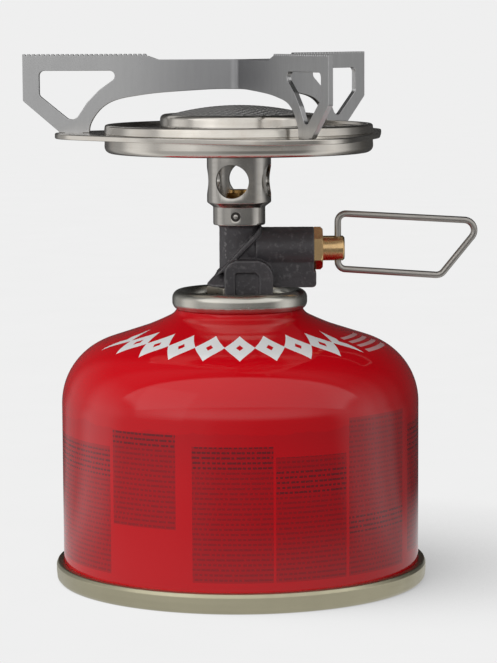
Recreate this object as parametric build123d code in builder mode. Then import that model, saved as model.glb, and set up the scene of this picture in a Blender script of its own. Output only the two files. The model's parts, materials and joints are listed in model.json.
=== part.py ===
"""Small upright gas stove screwed onto a 100 g threaded gas canister.

Millimetres, +Z up. The origin is the centre of the canister's foot ring, on the ground.
The control knob's wire handle points along +X and the stove's front is -Y.
"""

import os
from math import asin, cos, degrees, radians, sin, tan

from build123d import *

# canister
can_r = 43.3
can_wall = 0.4
crown_r = 16.0
crown_centre = (can_r - crown_r, 43.27)
cone_angle = 18.2
seam_r = 45.1
seam_h = 4.8
neck_r = 15.1
# where the cone flares up into the neck: radius, height and slope in degrees
neck_flare = (
    (24.4, 61.07, cone_angle),
    (21.6, 62.1, 21.0),
    (18.2, 63.6, 26.0),
    (16.2, 64.7, 34.0),
    (neck_r, 66.1, 90.0),
)
bead_r = 0.85
bead_z = 68.1
curl_centre_r = 14.4
curl_w = 3.2
curl_h = 4.1
cup_floor_z = 64.0
cup_wall = 0.35

# threaded valve boss, 7/16 inch with 28 threads to the inch
thread_pitch = 0.907
thread_crest_r = 5.53
thread_root_r = 5.05
boss_top_z = 73.0
collar_bore_r = 5.6

# casting and control spindle
knob_z = 80.35
column_r = 4.85
side_boss_r = 5.2
side_boss_root_r = 4.6
side_boss_x = 18.0
collar_hex_flats = 13.8
collar_top_z = 71.4
gland_x = 20.12
stem_r = 3.0
stem_end_x = 25.4
gland_bore_r = 3.05
needle_bore_r = 2.0

# folding wire handle
wire_r = 0.8
fold_x = 23.8
fold_bore_r = 0.85

# mixing tube
tube_r = 7.75
tube_neck_r = 6.3
tube_wall = 0.8
tube_foot_z = 86.2
air_hole_r = 4.05
air_hole_z = 96.9
air_hole_angles = (256, 346, 76, 166)

# burner head
pan_r = 32.35
upper_pan_r = 32.4
pan_wall = 0.6
pan_floor_z = 103.0
plate_z = 107.0
plate_t = 1.3
plate_r = 34.0
lobe_r = 18.0
lobe_centre_r = 27.0
lobe_angles = (170, 290, 50)
cap_top_z = 112.9
dome_top_z = 114.7

# pot supports
sheet_t = 1.2
arm_r = 52.7
arm_top_z = 127.3
arm_root_top_z = 125.9
tooth_count = 26
tooth_depth = 0.5
teeth_inner_r = 21.9
arm_angles = (173, 293, 53)
tenon_r = 40.2
tenon_w = 4.4

os.makedirs("parts", exist_ok=True)


def polar(r, degrees):
    """The X and Y of a point at this radius and direction around the stove's axis."""
    return r * cos(radians(degrees)), r * sin(radians(degrees))


def dome_arc(top_z, sphere_r, edge_r):
    """Arc of a sphere centred on the stove's axis, from its top down to the edge radius."""
    return CenterArc((0, top_z - sphere_r), sphere_r, 90, -degrees(asin(edge_r / sphere_r)))


def ring(part_r, hole_r, z, height):
    """A flat ring about the stove's axis, added to the open part."""
    with BuildSketch(Plane.XY.offset(z)) as section:
        Circle(part_r)
        if hole_r:
            Circle(hole_r, mode=Mode.SUBTRACT)
    extrude(section.sketch, amount=height)


def drill(r, z0, z1, x=0.0):
    """A vertical round hole cut from z0 to z1 in the open part."""
    with BuildSketch(Plane.XY.offset(z0)) as section:
        with Locations((x, 0)):
            Circle(r)
    extrude(section.sketch, amount=z1 - z0, mode=Mode.SUBTRACT)


def bar_x(r, x0, x1, mode=Mode.ADD):
    """A round bar along X at the knob's height, added to or cut from the open part."""
    with BuildSketch(Plane.YZ.offset(x0)) as section:
        with Locations((0, knob_z)):
            Circle(r)
    extrude(section.sketch, amount=x1 - x0, mode=mode)


# ---------------------------------------------------------------- canister

# drawn steel shell: straight wall, rounded crown, cone, neck and the bead that carries the valve cup
def can_solid(inset):
    """The can's outline as a solid, moved inward by the inset, added to or cut from the open part."""
    with BuildSketch(Plane.XZ) as section:
        with BuildLine():
            crown = CenterArc(crown_centre, crown_r - inset, 0, 90 - cone_angle)
            flare_points = [
                (r - inset * sin(radians(slope)), z - inset * cos(radians(slope)))
                for r, z, slope in neck_flare
            ]
            cone_direction = (-cos(radians(cone_angle)), sin(radians(cone_angle)))
            flare = Spline(*flare_points, tangents=[cone_direction, (0, 1)])
            Line(crown @ 1, flare @ 0)
            Polyline(
                flare @ 1,
                (neck_r - inset, bead_z),
                (0, bead_z),
                (0, 1.25),
                (can_r - inset, 1.25),
                crown @ 0,
            )
        make_face()
    revolve(section.sketch, axis=Axis.Z, mode=Mode.SUBTRACT if inset else Mode.ADD)


with BuildPart() as canister_shell:
    can_solid(0.0)
    can_solid(can_wall)
    ring(can_r + 0.8, can_r - can_wall, 1.25, 0.4)
    with BuildSketch(Plane.XZ):
        with Locations((curl_centre_r, bead_z)):
            Circle(bead_r)
    revolve(axis=Axis.Z)
canister_shell.part.label = "canister_shell"

# tinplate bottom: double-seamed foot ring with a panel domed up inside it
with BuildPart() as canister_base:
    with BuildSketch(Plane.XZ) as foot_section:
        with BuildLine():
            Polyline(
                (42.4, 0.9),
                (43.0, 0.0),
                (44.3, 0.0),
                (44.9, 0.7),
                (seam_r, 2.4),
                (seam_r, 3.9),
                (44.7, seam_h),
                (43.36, seam_h),
                (43.36, 1.75),
                (44.2, 1.75),
                (44.2, 1.15),
                (42.84, 1.15),
                (42.84, 4.6),
                (42.4, 4.6),
                close=True,
            )
        make_face()
    revolve(axis=Axis.Z)
    with BuildSketch(Plane.XZ):
        with BuildLine():
            under = dome_arc(7.6, 182.7, 42.5)
            over = dome_arc(8.0, 183.1, 42.5)
            Line(under @ 1, over @ 1)
            Line(under @ 0, over @ 0)
        make_face()
    revolve(axis=Axis.Z)
canister_base.part.label = "canister_base"

# valve cup: curl crimped over the bead, sunken floor and threaded boss
cup_bore_r = curl_centre_r - curl_w / 2
lip_r = neck_r + 0.15
with BuildPart() as valve_cup:
    with BuildSketch(Plane.XZ):
        with Locations((curl_centre_r, bead_z)):
            SlotOverall(curl_h, curl_w, rotation=90)
            SlotOverall(curl_h - 2 * cup_wall, curl_w - 2 * cup_wall, rotation=90, mode=Mode.SUBTRACT)
        with Locations(((cup_bore_r - 1.0 + lip_r) / 2, bead_z - 1.5)):
            Rectangle(lip_r - cup_bore_r + 1.0, 3.0, mode=Mode.SUBTRACT)
    revolve(axis=Axis.Z)
    ring(cup_bore_r + cup_wall, cup_bore_r, cup_floor_z, bead_z - cup_floor_z)
    ring(cup_bore_r + cup_wall, 3.65, cup_floor_z, cup_wall)
    ring(thread_root_r, 3.65, cup_floor_z, boss_top_z - cup_floor_z)
    ring(thread_root_r, 1.9, boss_top_z - 0.6, 0.6)
    with BuildSketch(Plane.XZ):
        for turn in range(7):
            z = 66.2 + turn * thread_pitch
            with BuildLine():
                Polyline(
                    (thread_root_r - 0.1, z),
                    (thread_root_r - 0.1, z + 0.8),
                    (thread_crest_r, z + 0.46),
                    (thread_crest_r, z + 0.34),
                    close=True,
                )
            make_face()
    revolve(axis=Axis.Z)
valve_cup.part.label = "valve_cup"

# rubber ring squeezed between the bead and the curl
with BuildPart() as cup_gasket:
    with BuildSketch(Plane.XZ):
        with Locations((curl_centre_r, bead_z)):
            SlotOverall(curl_h - 0.8, curl_w - 0.8, rotation=90)
            Circle(bead_r + 0.05, mode=Mode.SUBTRACT)
        with Locations((curl_centre_r, bead_z - 1.4)):
            Rectangle(4.0, 3.4, mode=Mode.SUBTRACT)
    revolve(axis=Axis.Z)
cup_gasket.part.label = "cup_gasket"

# housing inside the boss that holds the spring and the stem
with BuildPart() as valve_housing:
    ring(3.6, 2.9, 57.6, 13.6)
    ring(3.6, 0.8, 56.6, 1.0)
valve_housing.part.label = "valve_housing"

with BuildPart() as stem_gasket:
    ring(3.6, 1.25, 71.25, 1.1)
stem_gasket.part.label = "stem_gasket"

# valve stem, held down by the stove's pin
with BuildPart() as valve_stem:
    ring(1.2, 0, 66.0, 5.5)
    ring(2.6, 0, 68.8, 1.2)
valve_stem.part.label = "valve_stem"

with BuildPart() as valve_spring:
    with BuildLine():
        coil = Helix(pitch=1.5, height=10.5, radius=2.0, center=(0, 0, 57.9))
    with BuildSketch(Plane(origin=coil @ 0, z_dir=coil % 0)):
        Circle(0.22)
    sweep(is_frenet=True)
valve_spring.part.label = "valve_spring"

# ---------------------------------------------------------------- stove valve

# rubber ring sealing the stove on the top of the threaded boss
with BuildPart() as boss_seal:
    with BuildSketch(Plane.XZ):
        with Locations((2.9, boss_top_z + 0.73)):
            Circle(0.7)
    revolve(axis=Axis.Z)
boss_seal.part.label = "boss_seal"

# hexagonal collar with the female thread, under the casting
collar_corner_r = collar_hex_flats / 2 / cos(radians(30))
with BuildPart() as thread_collar:
    with BuildSketch(Plane.XY.offset(65.7)):
        RegularPolygon(radius=collar_corner_r, side_count=6)
    extrude(amount=collar_top_z - 65.7)
    chamfer(thread_collar.faces().sort_by(Axis.Z)[0].edges(), 0.5)
    ring(6.2, 0, collar_top_z, 1.2)
    drill(collar_bore_r, 65.0, 73.0)
thread_collar.part.label = "thread_collar"

# slanting rib on the casting, in front and behind, its ends trimmed to run into the column
with BuildPart() as casting_rib:
    with BuildSketch(Plane.XZ):
        with BuildLine():
            Polyline((-5.9, 74.2), (5.3, 85.9), (5.3, 84.2), (-1.9, 76.9), (-3.6, 75.2), close=True)
        make_face()
    extrude(amount=5.9, both=True)
    with BuildSketch(Plane.XZ):
        with BuildLine():
            Polyline((0, 73.9), (8.4, 73.9), (6.2, 86.1), (0, 86.1), close=True)
        make_face()
    revolve(axis=Axis.Z, mode=Mode.INTERSECT)

# black casting: column, side boss for the spindle, flared foot, front and back housings
with BuildPart() as valve_body:
    with BuildSketch(Plane.XZ):
        with BuildLine():
            Polyline(
                (0, 71.45),
                (7.85, 71.45),
                (7.85, 72.0),
                (column_r, 75.3),
                (column_r, 85.7),
                (5.45, 86.2),
                (5.45, 89.8),
                (0, 89.8),
                close=True,
            )
        make_face()
    revolve(axis=Axis.Z)
    bar_x(side_boss_root_r, 0.0, 4.0)
    bar_x(side_boss_r, 3.9, side_boss_x)
    add(casting_rib.part)
    # lug under the side boss
    with BuildSketch(Plane.XZ) as lug_outline:
        with BuildLine():
            Polyline(
                (8.4, 71.2),
                (18.5, 71.2),
                (18.5, 75.0),
                (17.9, 75.0),
                (17.9, 79.0),
                (3.0, 79.0),
                (3.0, 71.45),
                (8.4, 71.45),
                close=True,
            )
        make_face()
        fillet(lug_outline.vertices().filter_by(lambda v: v.X > 18 and v.Y < 72), 0.9)
    extrude(amount=4.2, both=True)
    # arched housings in front and behind, each with a shallow sunk panel
    for side in (-1, 1):
        with BuildSketch(Plane.XZ) as arch_outline:
            with Locations((2.2, 73.87)):
                Rectangle(11.6, 8.26)
            arch_top = arch_outline.vertices().sort_by(Axis.Y)[-2:]
            fillet(arch_top.sort_by(Axis.X)[0], 3.2)
            arch_top = arch_outline.vertices().sort_by(Axis.X)[-2:]
            fillet(arch_top.sort_by(Axis.Y)[-1], 4.0)
        extrude(amount=-8.4 * side)
        with BuildSketch(Plane.XZ.offset(-7.75 * side)) as panel_outline:
            with Locations((1.8, 72.3)):
                Rectangle(5.8, 5.6)
            panel_left = panel_outline.vertices().sort_by(Axis.X)[:2]
            fillet(panel_left.sort_by(Axis.Y)[-1], 0.6)
            panel_right = panel_outline.vertices().sort_by(Axis.X)[-2:]
            fillet(panel_right.sort_by(Axis.Y)[-1], 1.3)
        extrude(amount=-2.0 * side, mode=Mode.SUBTRACT)
    # recess for the collar, the seal and the filter, then the pin's hole
    with BuildSketch(Plane.XY.offset(65.0)):
        RegularPolygon(radius=collar_corner_r + 0.1, side_count=6)
    extrude(amount=collar_top_z + 0.02 - 65.0, mode=Mode.SUBTRACT)
    drill(6.22, collar_top_z, 72.65)
    drill(5.65, 72.0, 73.1)
    drill(3.7, 73.0, 74.5)
    drill(3.5, 74.0, 75.0)
    drill(1.01, 74.0, 77.0)
    # gas ways: inlet, needle chamber, seat and outlet to the jet
    drill(0.45, 74.9, 80.0, x=2.95)
    bar_x(3.95, 7.0, 19.0, mode=Mode.SUBTRACT)
    bar_x(needle_bore_r, 2.6, 7.5, mode=Mode.SUBTRACT)
    bar_x(0.6, 0.0, 3.0, mode=Mode.SUBTRACT)
    drill(0.8, knob_z - 0.6, 87.0)
    drill(2.5, 86.5, 90.0)
valve_body.part.label = "valve_body"

with BuildPart() as actuator_pin:
    ring(1.0, 0, 71.55, 5.4)
actuator_pin.part.label = "actuator_pin"

with BuildPart() as gas_filter:
    ring(3.45, 1.06, 74.52, 0.45)
gas_filter.part.label = "gas_filter"

# brass jet: threaded shank, hexagonal head, fine orifice
with BuildPart() as gas_jet:
    ring(2.45, 0, 87.2, 2.62)
    with BuildSketch(Plane.XY.offset(89.82)):
        RegularPolygon(radius=2.9, side_count=6, major_radius=False, rotation=0)
    extrude(amount=4.1)
    with BuildSketch(Plane.XY.offset(93.92)):
        Circle(2.5)
    extrude(amount=0.7, taper=20)
    drill(1.0, 87.0, 93.6)
    drill(0.2, 93.0, 95.0)
gas_jet.part.label = "gas_jet"

# ---------------------------------------------------------------- control spindle

with BuildPart() as gland_nut:
    bar_x(3.9, 13.05, side_boss_x)
    with BuildSketch(Plane.YZ.offset(side_boss_x)):
        with Locations((0, knob_z)):
            RegularPolygon(radius=4.5, side_count=6, major_radius=False, rotation=30)
    extrude(amount=gland_x - side_boss_x)
    chamfer(gland_nut.faces().sort_by(Axis.X)[-1].edges(), 0.3)
    bar_x(gland_bore_r, 12.0, 21.0, mode=Mode.SUBTRACT)
gland_nut.part.label = "gland_nut"

with BuildPart() as spindle_seal:
    with BuildSketch(Plane.XZ):
        with Locations((9.4, knob_z + 3.05)):
            Circle(0.82)
    revolve(axis=Axis((0, 0, knob_z), (1, 0, 0)))
spindle_seal.part.label = "spindle_seal"

# brass spindle: needle, seal groove between two shoulders, and the stem that carries the handle
with BuildPart() as spindle:
    with BuildSketch(Plane.XZ):
        with BuildLine():
            Polyline(
                (2.28, knob_z),
                (2.28, knob_z + 0.3),
                (3.8, knob_z + 1.6),
                (3.8, knob_z + 1.9),
                (7.6, knob_z + 1.9),
                (7.6, knob_z + 3.7),
                (8.5, knob_z + 3.7),
                (8.5, knob_z + 2.2),
                (10.3, knob_z + 2.2),
                (10.3, knob_z + 3.7),
                (11.9, knob_z + 3.7),
                (11.9, knob_z + stem_r),
                (stem_end_x - 0.4, knob_z + stem_r),
                (stem_end_x, knob_z + stem_r - 0.4),
                (stem_end_x, knob_z),
                close=True,
            )
        make_face()
    revolve(axis=Axis((0, 0, knob_z), (1, 0, 0)))
    drill(fold_bore_r, knob_z - 5, knob_z + 5, x=fold_x)
spindle.part.label = "spindle"

# closed wire loop through the stem's cross hole
with BuildPart() as wire_handle:
    with BuildSketch(Plane.XZ, mode=Mode.PRIVATE) as loop:
        with BuildLine():
            Polyline((fold_x, 75.34), (fold_x, 88.78), (59.3, 86.7), (48.66, 73.61), close=True)
        make_face()
        fillet(loop.vertices().filter_by(lambda v: v.X < 30), 1.9)
        fillet(loop.vertices().filter_by(lambda v: v.X > 55), 2.5)
        fillet(loop.vertices().filter_by(lambda v: 40 < v.X < 50 and v.Y < 74), 2.2)
    centreline = loop.sketch.face().outer_wire()
    with BuildSketch(Plane(origin=centreline @ 0, z_dir=centreline % 0)):
        Circle(wire_r)
    sweep(path=centreline)
wire_handle.part.label = "wire_handle"

# ---------------------------------------------------------------- mixing tube and burner head

# necked steel tube with four air holes, staked onto the casting
with BuildPart() as mixing_tube:
    with BuildSketch(Plane.XZ):
        with BuildLine():
            Polyline(
                (tube_neck_r - tube_wall, tube_foot_z),
                (tube_neck_r - 0.3, tube_foot_z),
                (tube_neck_r, tube_foot_z + 0.4),
                (tube_neck_r, 90.6),
                (6.55, 90.8),
                (tube_r, 91.7),
                (tube_r, pan_floor_z - 0.02),
                (tube_r - 0.1, pan_floor_z - 0.02),
                (tube_r - 0.1, 103.65),
                (9.5, 103.65),
                (9.5, 104.2),
                (tube_r - tube_wall, 104.2),
                (tube_r - tube_wall, 91.95),
                (tube_neck_r - tube_wall, 91.1),
                close=True,
            )
        make_face()
    revolve(axis=Axis.Z)
    for angle in air_hole_angles:
        with BuildSketch(Plane(origin=(0, 0, air_hole_z), z_dir=(*polar(1, angle), 0))):
            Circle(air_hole_r)
        extrude(amount=10, mode=Mode.SUBTRACT)
    # stake mark
    with BuildSketch(Plane.XZ.offset(6.05)):
        with Locations((-0.84, 88.4)):
            Circle(1.0)
            Circle(0.45, mode=Mode.SUBTRACT)
    extrude(amount=1.0, mode=Mode.SUBTRACT)
mixing_tube.part.label = "mixing_tube"


def dish_profile(inset):
    """Closed half section of the lower pan's outside, moved inward by the inset."""
    with BuildSketch(Plane.XZ) as section:
        with BuildLine():
            Polyline(
                (0, pan_floor_z + inset),
                (18.5, pan_floor_z + inset),
                (pan_r - inset, pan_floor_z + 0.7 + inset),
                (pan_r - inset, plate_z),
                (0, plate_z),
                close=True,
            )
        make_face()
        fillet(section.vertices().filter_by(lambda v: v.X > 25 and v.Y < 105), 2.2 - inset)
    return section.sketch_local


with BuildPart() as lower_pan:
    with BuildSketch(Plane.XZ):
        add(dish_profile(0.0))
    revolve(axis=Axis.Z)
    with BuildSketch(Plane.XZ):
        add(dish_profile(pan_wall))
    revolve(axis=Axis.Z, mode=Mode.SUBTRACT)
    drill(tube_r - 0.08, 102.0, 104.0)
lower_pan.part.label = "lower_pan"

# flat plate between the pans: a disc with three slotted lobes, each joined to it by straight edges
tangent_cos = (plate_r - lobe_r) / lobe_centre_r
tangent_sin = (1 - tangent_cos**2) ** 0.5
disc_x = plate_r * tangent_cos
disc_y = plate_r * tangent_sin
lobe_x = lobe_centre_r + lobe_r * tangent_cos
lobe_y = lobe_r * tangent_sin
with BuildPart() as support_plate:
    with BuildSketch(Plane.XY.offset(plate_z)):
        Circle(plate_r)
        for angle in lobe_angles:
            with Locations(Location((0, 0, 0), (0, 0, angle))):
                Polygon((disc_x, -disc_y), (lobe_x, -lobe_y), (lobe_x, lobe_y), (disc_x, disc_y), align=None)
                with Locations((lobe_centre_r, 0)):
                    Circle(lobe_r)
        Circle(26.0, mode=Mode.SUBTRACT)
        for angle in arm_angles:
            with Locations(Location((0, 0, 0), (0, 0, angle))):
                with Locations((tenon_r, 0)):
                    Rectangle(tenon_w + 0.1, sheet_t + 0.1, mode=Mode.SUBTRACT)
    extrude(amount=plate_t)
support_plate.part.label = "support_plate"

# upper pan: straight side, rounded rim and a sunken top
with BuildPart() as upper_pan:
    with BuildSketch(Plane.XZ) as rim_section:
        with BuildLine():
            Polyline(
                (upper_pan_r, plate_z + plate_t),
                (upper_pan_r, 110.45),
                (upper_pan_r - 1.25, 110.45),
                (upper_pan_r - 1.95, 109.6),
                (18.2, 109.5),
                (18.2, 108.95),
                (upper_pan_r - 1.7, 109.05),
                (upper_pan_r - 0.95, 109.8),
                (upper_pan_r - 0.6, 109.5),
                (upper_pan_r - 0.6, plate_z + plate_t),
                close=True,
            )
        make_face()
        fillet(rim_section.vertices().filter_by(lambda v: v.X > 32 and v.Y > 110), 0.8)
    revolve(axis=Axis.Z)
upper_pan.part.label = "upper_pan"

# burner cap with a faint step and a rounded lip over the mesh
with BuildPart() as burner_cap:
    with BuildSketch(Plane.XZ) as cap_section:
        with BuildLine():
            Polyline(
                (19.15, 109.52),
                (19.15, 110.1),
                (19.0, 110.25),
                (19.0, cap_top_z),
                (16.6, cap_top_z),
                (16.6, 112.3),
                (17.95, 112.3),
                (17.95, 109.52),
                close=True,
            )
        make_face()
        fillet(cap_section.vertices().filter_by(lambda v: v.X > 18.5 and v.Y > 112.5), 1.2)
    revolve(axis=Axis.Z)
burner_cap.part.label = "burner_cap"

# domed flame mesh, clamped by its flat rim
with BuildPart() as burner_mesh:
    with BuildSketch(Plane.XZ):
        with BuildLine():
            under = dome_arc(dome_top_z - 0.4, 63.9, 16.0)
            over = dome_arc(dome_top_z, 64.3, 16.3)
            Polyline(under @ 1, (16.2, 111.9), (17.9, 111.9), (17.9, 112.28), (16.5, 112.28), over @ 1)
            Line(under @ 0, over @ 0)
        make_face()
    revolve(axis=Axis.Z)
burner_mesh.part.label = "burner_mesh"

# ---------------------------------------------------------------- pot supports

tooth_pitch = (arm_r - teeth_inner_r) / tooth_count


def toothed_edge():
    """Points along the toothed top edge, from the tip inward."""
    points = []
    for tooth in range(tooth_count):
        r = arm_r - tooth * tooth_pitch
        points.append((r, arm_top_z))
        points.append((r - 0.5 * tooth_pitch, arm_top_z))
        points.append((r - 0.75 * tooth_pitch, arm_top_z - tooth_depth))
    return points


def arm_outline(start_r, arch_z):
    """One pot support in its own upright plane, from start_r out to the tip."""
    with BuildLine() as edge:
        Line((start_r, arm_root_top_z), (start_r, arch_z))
        Spline(
            (start_r, arch_z),
            (6.9, 118.73),
            (18.4, 118.0),
            (24.6, 117.25),
            (29.3, 116.35),
            (32.4, 114.95),
            (34.65, 112.8),
            (36.1, 110.3),
            (36.4, 108.35),
        )
        Polyline(
            (36.4, 108.35),
            (tenon_r - tenon_w / 2, 108.35),
            (tenon_r - tenon_w / 2, plate_z - 0.15),
            (tenon_r + tenon_w / 2, plate_z - 0.15),
            (tenon_r + tenon_w / 2, 108.35),
            (43.6, 108.35),
            (arm_r, 116.05),
            *toothed_edge(),
            (teeth_inner_r, arm_top_z - tooth_depth),
            (20.6, arm_root_top_z + 0.45),
            (19.4, arm_root_top_z),
            (start_r, arm_root_top_z),
        )
    return edge.line


def arm_window():
    """The five-sided opening near the tip of a pot support."""
    with BuildSketch(Plane.XZ) as window:
        with BuildLine():
            Polyline(
                (48.62, 123.28),
                (48.62, 117.35),
                (40.3, 110.65),
                (36.9, 115.6),
                (33.9, 118.65),
                (27.4, 123.28),
                close=True,
            )
        make_face()
        fillet(window.vertices().filter_by(lambda v: v.X > 48), 1.2)
        fillet(window.vertices().filter_by(lambda v: v.Y < 111), 2.0)
        fillet(window.vertices().filter_by(lambda v: v.X < 28), 1.73)
        fillet(window.vertices().filter_by(lambda v: 33 < v.X < 37 and 115 < v.Y < 119), 4.0)
    return window.sketch_local


def flat_arm(start_r, arch_z):
    """A pot support cut from sheet, standing in the XZ plane with its tip on +X."""
    with BuildPart() as blank:
        with BuildSketch(Plane.XZ):
            make_face(arm_outline(start_r, arch_z).edges())
            add(arm_window(), mode=Mode.SUBTRACT)
        extrude(amount=sheet_t / 2, both=True)
    return blank.part


def upright_bend(centre, inner_r, start_angle, arch_z):
    """A 60 degree bend about an upright line, added to the open part."""
    with BuildSketch(Plane.XY.offset(arch_z)) as section:
        with BuildLine():
            outer = CenterArc(centre, inner_r + sheet_t, start_angle, 60)
            inner = CenterArc(centre, inner_r, start_angle, 60)
            Line(outer @ 0, inner @ 0)
            Line(outer @ 1, inner @ 1)
        make_face()
    extrude(section.sketch, amount=arm_root_top_z - arch_z)


arch_top_z = 118.81
main_bend_r = 2.9
main_mid_r = main_bend_r + sheet_t / 2
main_start = main_mid_r / tan(radians(60))
main_blank = flat_arm(main_start, arch_top_z)
with BuildPart() as pot_support_main:
    for angle in arm_angles[:2]:
        with Locations(Location((0, 0, 0), (0, 0, angle))):
            add(main_blank)
    upright_bend(polar(main_mid_r / sin(radians(60)), 233), main_bend_r, 23, arch_top_z)
pot_support_main.part.label = "pot_support_main"

third_bend_r = 1.0
third_mid_r = third_bend_r + sheet_t / 2
corner_r = sheet_t / cos(radians(30))
third_start = corner_r + third_mid_r / tan(radians(60))
corner_x, corner_y = polar(corner_r, arm_angles[2])
toward_x, toward_y = polar(third_mid_r / sin(radians(60)), 113)
third_blank = flat_arm(third_start, arch_top_z)
with BuildPart() as pot_support_third:
    with Locations(Location((0, 0, 0), (0, 0, arm_angles[2]))):
        add(third_blank)
    upright_bend((corner_x + toward_x, corner_y + toward_y), third_bend_r, 263, arch_top_z)
    # tab welded to the back of the other strip
    with BuildSketch(Plane.XY.offset(arch_top_z)):
        with Locations(Location((0, 0, 0), (0, 0, arm_angles[0]))):
            with Locations((6.6, -sheet_t)):
                Rectangle(12.74, sheet_t)
    extrude(amount=arm_root_top_z - arch_top_z)
pot_support_third.part.label = "pot_support_third"

for piece in (
    canister_shell,
    canister_base,
    valve_cup,
    cup_gasket,
    valve_housing,
    stem_gasket,
    valve_stem,
    valve_spring,
    boss_seal,
    thread_collar,
    valve_body,
    actuator_pin,
    gas_filter,
    gas_jet,
    gland_nut,
    spindle_seal,
    spindle,
    wire_handle,
    mixing_tube,
    lower_pan,
    support_plate,
    upper_pan,
    burner_cap,
    burner_mesh,
    pot_support_main,
    pot_support_third,
):
    export_step(piece.part, f"parts/{piece.part.label}.step")
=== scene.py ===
import json
from math import acos, atan2, ceil, cos, degrees, hypot, pi, radians, sin, tan

import bmesh
import bpy
from mathutils import Matrix, Vector, noise

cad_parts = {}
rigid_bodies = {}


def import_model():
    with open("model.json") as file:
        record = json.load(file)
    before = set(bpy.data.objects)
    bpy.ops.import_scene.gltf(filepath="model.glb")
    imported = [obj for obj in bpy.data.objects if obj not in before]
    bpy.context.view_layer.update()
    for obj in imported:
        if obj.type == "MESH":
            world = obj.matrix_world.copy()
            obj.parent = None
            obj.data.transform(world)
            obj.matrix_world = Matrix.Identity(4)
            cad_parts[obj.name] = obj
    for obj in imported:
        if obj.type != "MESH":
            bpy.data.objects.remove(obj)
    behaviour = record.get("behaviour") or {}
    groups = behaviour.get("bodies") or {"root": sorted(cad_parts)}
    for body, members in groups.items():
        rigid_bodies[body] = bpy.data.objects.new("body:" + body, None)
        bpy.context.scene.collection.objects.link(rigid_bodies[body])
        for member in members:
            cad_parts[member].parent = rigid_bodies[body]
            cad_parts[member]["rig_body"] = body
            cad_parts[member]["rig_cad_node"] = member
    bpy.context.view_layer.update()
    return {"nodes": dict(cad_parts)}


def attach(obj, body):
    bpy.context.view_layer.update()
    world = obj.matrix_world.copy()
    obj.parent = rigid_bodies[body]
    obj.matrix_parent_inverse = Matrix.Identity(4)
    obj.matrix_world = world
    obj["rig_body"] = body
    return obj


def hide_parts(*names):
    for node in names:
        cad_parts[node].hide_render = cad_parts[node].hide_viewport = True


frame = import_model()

MM = 0.001

# ------------------------------------------------------------------ mesh helpers


def fillet(points, closed=True):
    """Profile points (r, z) or (r, z, radius): each point with a radius becomes a small arc."""
    out = []
    n = len(points)
    for i, p in enumerate(points):
        x, y = p[0], p[1]
        radius = p[2] if len(p) > 2 else 0
        if not radius or (not closed and i in (0, n - 1)):
            out.append((x, y))
            continue
        a = Vector(points[i - 1][:2]) - Vector((x, y))
        b = Vector(points[(i + 1) % n][:2]) - Vector((x, y))
        la, lb = a.length, b.length
        a.normalize()
        b.normalize()
        angle = a.angle(b)
        if angle > pi - 0.02 or angle < 0.02:
            out.append((x, y))
            continue
        cut = min(radius / tan(angle / 2), la * 0.49, lb * 0.49)
        r = cut * tan(angle / 2)
        bisector = (a + b).normalized()
        centre = Vector((x, y)) + bisector * (r / sin(angle / 2))
        start = Vector((x, y)) + a * cut - centre
        end = Vector((x, y)) + b * cut - centre
        sweep = atan2(start.x * end.y - start.y * end.x, start.dot(end))
        steps = max(3, int(ceil(abs(degrees(sweep)) / 12)))
        for k in range(steps + 1):
            t = sweep * k / steps
            out.append((
                centre.x + start.x * cos(t) - start.y * sin(t),
                centre.y + start.x * sin(t) + start.y * cos(t),
            ))
    return out


def arc(cx, cy, r, a0, a1, steps=24):
    """Points on an arc, angles in degrees."""
    return [
        (cx + r * cos(radians(a0 + (a1 - a0) * i / steps)), cy + r * sin(radians(a0 + (a1 - a0) * i / steps)))
        for i in range(steps + 1)
    ]


def thick(path, t):
    """A closed section: the path on the outside, moved by t to its left on the inside."""
    inner = []
    for i in range(len(path)):
        x0, y0 = path[max(i - 1, 0)]
        x1, y1 = path[min(i + 1, len(path) - 1)]
        d = hypot(x1 - x0, y1 - y0)
        inner.append((path[i][0] - t * (y1 - y0) / d, path[i][1] + t * (x1 - x0) / d))
    return list(path) + inner[::-1]


def make(name, verts, faces, body, nodes=(), weighted=True):
    """A mesh in millimetres that rides on a body and stands for CAD nodes."""
    mesh = bpy.data.meshes.new(name)
    mesh.from_pydata([(x * MM, y * MM, z * MM) for x, y, z in verts], [], faces)
    bm = bmesh.new()
    bm.from_mesh(mesh)
    bmesh.ops.remove_doubles(bm, verts=bm.verts, dist=1e-7)
    bmesh.ops.recalc_face_normals(bm, faces=bm.faces)
    bm.to_mesh(mesh)
    bm.free()
    obj = bpy.data.objects.new(name, mesh)
    bpy.context.scene.collection.objects.link(obj)
    settle(obj, body, nodes, weighted)
    return obj


def settle(obj, body, nodes=(), weighted=True):
    """Shading, body and stand-in bookkeeping for a finished piece."""
    for p in obj.data.polygons:
        p.use_smooth = True
    obj.data.set_sharp_from_angle(angle=radians(32))
    if weighted:
        m = obj.modifiers.new("weights", "WEIGHTED_NORMAL")
        m.keep_sharp = True
        m.weight = 80
    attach(obj, body)
    if nodes:
        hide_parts(*nodes)


def lathe_data(profile, steps=192, along_x=None):
    """Vertices and faces of a profile turned about Z, or about the X line at height along_x."""
    verts, faces = [], []
    n = len(profile)
    for i in range(steps):
        a = 2 * pi * i / steps
        for r, z in profile:
            if along_x is None:
                verts.append((r * cos(a), r * sin(a), z))
            else:
                verts.append((z, r * cos(a), along_x + r * sin(a)))
    for i in range(steps):
        j = (i + 1) % steps
        for k in range(n):
            k2 = (k + 1) % n
            if profile[k][0] < 1e-6 and profile[k2][0] < 1e-6:
                continue
            faces.append((i * n + k, j * n + k, j * n + k2, i * n + k2))
    return verts, faces


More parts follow.
